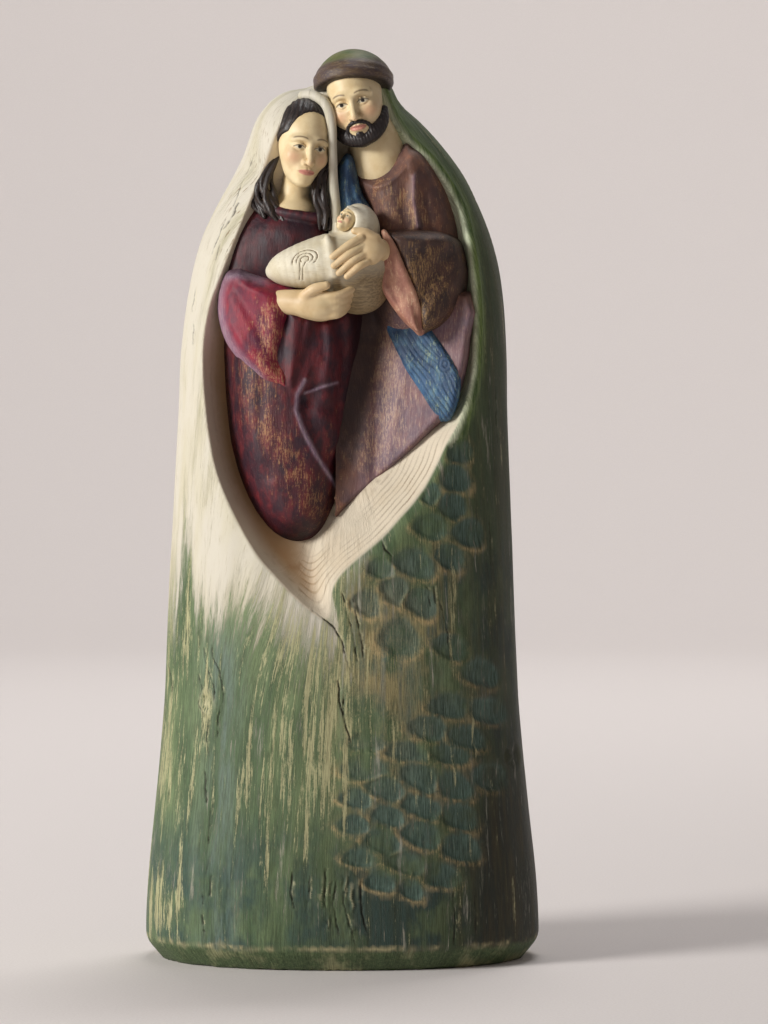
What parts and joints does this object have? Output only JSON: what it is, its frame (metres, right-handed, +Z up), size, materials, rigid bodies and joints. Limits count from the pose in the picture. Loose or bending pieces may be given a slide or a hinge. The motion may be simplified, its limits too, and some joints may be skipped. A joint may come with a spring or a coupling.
{
  "type": "holy family statue",
  "caption": "Painted resin figurine shaped as a hollowed log: mother, father and swaddled child stand in its almond-shaped hollow, and its edges become veil and head cloth.",
  "frame": {"origin": "middle of the flat underside", "axes": "+Z up along the log, the hollow with the figures faces -Y, +X is the viewer's right"},
  "size_m": [0.1191, 0.0761, 0.2799],
  "materials": {
    "painted_resin": "matt and satin hand painting with dry-brushed highlights over a carved wood look"
  },
  "bodies": {
    "root": {"holy_family_statue": "painted_resin"}
  },
  "joints": []
}
